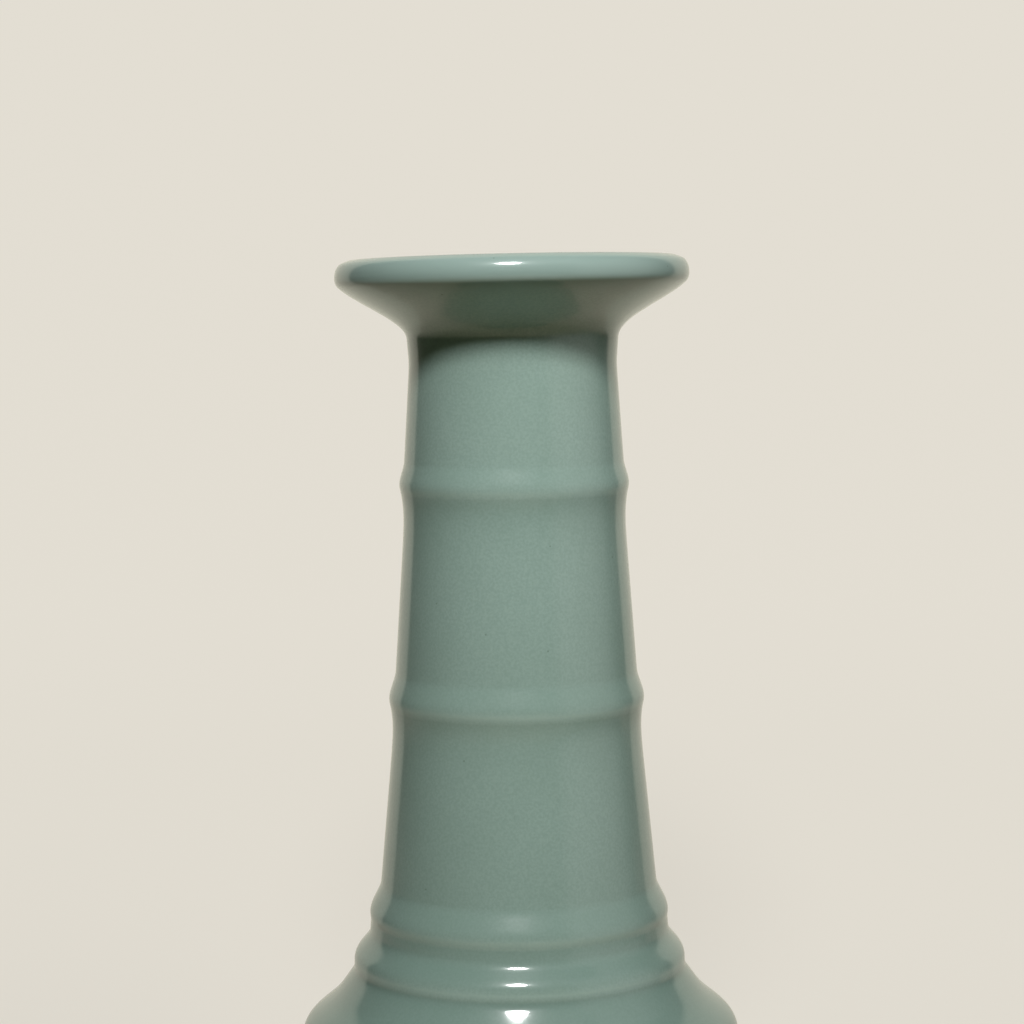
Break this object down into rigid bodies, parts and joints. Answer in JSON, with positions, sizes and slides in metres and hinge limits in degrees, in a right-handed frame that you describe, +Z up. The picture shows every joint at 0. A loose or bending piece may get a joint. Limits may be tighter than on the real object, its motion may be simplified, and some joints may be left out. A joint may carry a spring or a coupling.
{
  "type": "dish-mouth vase",
  "caption": "Tall celadon vase with a dish-shaped mouth, a ribbed neck, stepped shoulders, a low round belly and a ring foot.",
  "frame": {"origin": "centre of the circle that the foot ring stands on", "axes": "+Z up along the vase's axis of turning; the vase is round, so X and Y are any two directions across it"},
  "size_m": [0.168, 0.168, 0.31],
  "materials": {
    "celadon_glaze": "thick glossy celadon glaze, grey-green",
    "stoneware": "fired grey-buff stoneware body, matt",
    "luting_slip": "fired slip in the seams, matt",
    "bare_foot": "unglazed foot, burnt red-brown, matt"
  },
  "bodies": {
    "root": {"foot_ring": "bare_foot", "luting_slip_foot": "luting_slip", "belly_bowl": "stoneware", "luting_slip_belly": "luting_slip", "belly_dome": "stoneware", "luting_slip_shoulder": "luting_slip", "shoulder": "stoneware", "luting_slip_shoulder_collar": "luting_slip", "shoulder_collar": "stoneware", "luting_slip_neck_lower": "luting_slip", "neck_lower": "stoneware", "luting_slip_neck_middle": "luting_slip", "neck_middle": "stoneware", "luting_slip_neck_upper": "luting_slip", "neck_upper": "stoneware", "luting_slip_mouth": "luting_slip", "mouth_dish": "stoneware", "glaze_coat": "celadon_glaze", "base_glaze": "celadon_glaze"}
  },
  "joints": []
}
